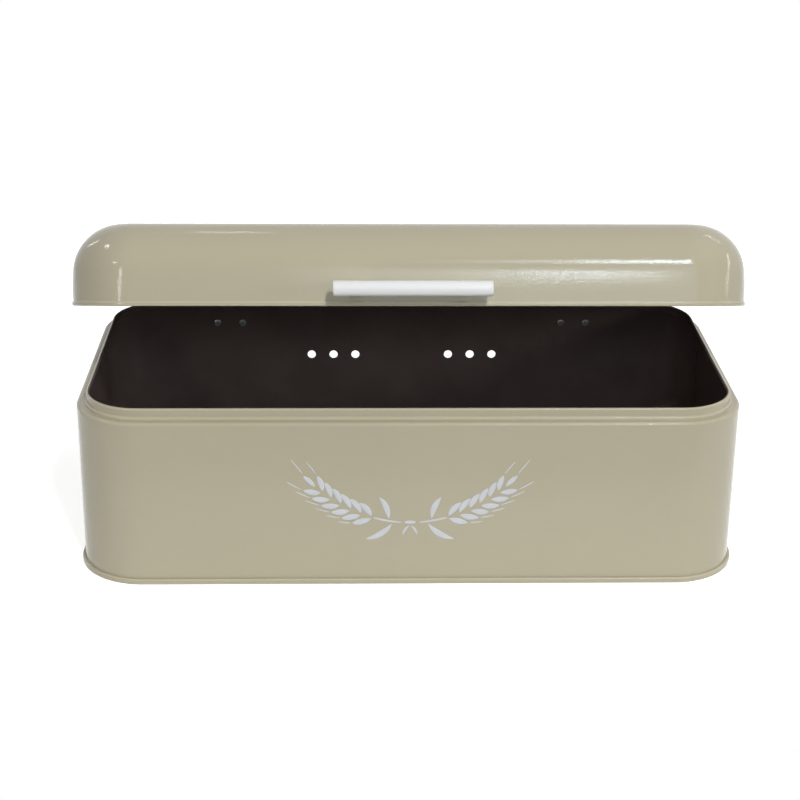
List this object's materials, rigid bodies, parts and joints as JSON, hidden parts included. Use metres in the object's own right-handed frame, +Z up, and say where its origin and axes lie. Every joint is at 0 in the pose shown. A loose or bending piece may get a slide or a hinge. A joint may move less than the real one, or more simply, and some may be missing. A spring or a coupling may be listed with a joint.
{
  "type": "bread box",
  "caption": "Painted sheet-steel bread box with rounded corners, a stepped neck, a hinged domed lid that stops past upright, and a bar handle on the lid.",
  "frame": {"origin": "centre of the body's footprint, on the surface that it stands on", "axes": "+Z up; +X to the right along the long side; -Y is the front with the handle, +Y the back with the hinges"},
  "size_m": [0.424, 0.2348, 0.2215],
  "materials": {
    "body_coat": "glossy khaki-grey powder coat outside, dark brown lacquer inside",
    "lid_coat": "glossy khaki-grey powder coat outside, dark brown lacquer inside",
    "handle_coat": "smooth white gloss coat",
    "zinc_steel": "zinc-plated, satin"
  },
  "bodies": {
    "bin": {"body_wall": "body_coat", "bottom_pan": "body_coat", "hinge_left_body_leaf": "zinc_steel", "hinge_right_body_leaf": "zinc_steel", "hinge_left_pin": "zinc_steel", "hinge_right_pin": "zinc_steel", "body_rivet_1": "zinc_steel", "body_rivet_2": "zinc_steel", "body_rivet_3": "zinc_steel", "body_rivet_4": "zinc_steel"},
    "lid": {"lid_shell": "lid_coat", "handle_bar": "handle_coat", "handle_post_left": "handle_coat", "handle_post_right": "handle_coat", "handle_screw_left": "zinc_steel", "handle_screw_right": "zinc_steel", "handle_washer_left": "zinc_steel", "handle_washer_right": "zinc_steel", "hinge_left_lid_leaf": "zinc_steel", "hinge_right_lid_leaf": "zinc_steel", "lid_rivet_1": "zinc_steel", "lid_rivet_2": "zinc_steel", "lid_rivet_3": "zinc_steel", "lid_rivet_4": "zinc_steel"}
  },
  "joints": [
    {"name": "lid_hinge", "type": "hinge", "parent": "bin", "child": "lid", "pos_m": [0, 0.1125, 0.11], "axis": [-1, 0, 0], "range_deg": [-18.8, 81.2]}
  ]
}
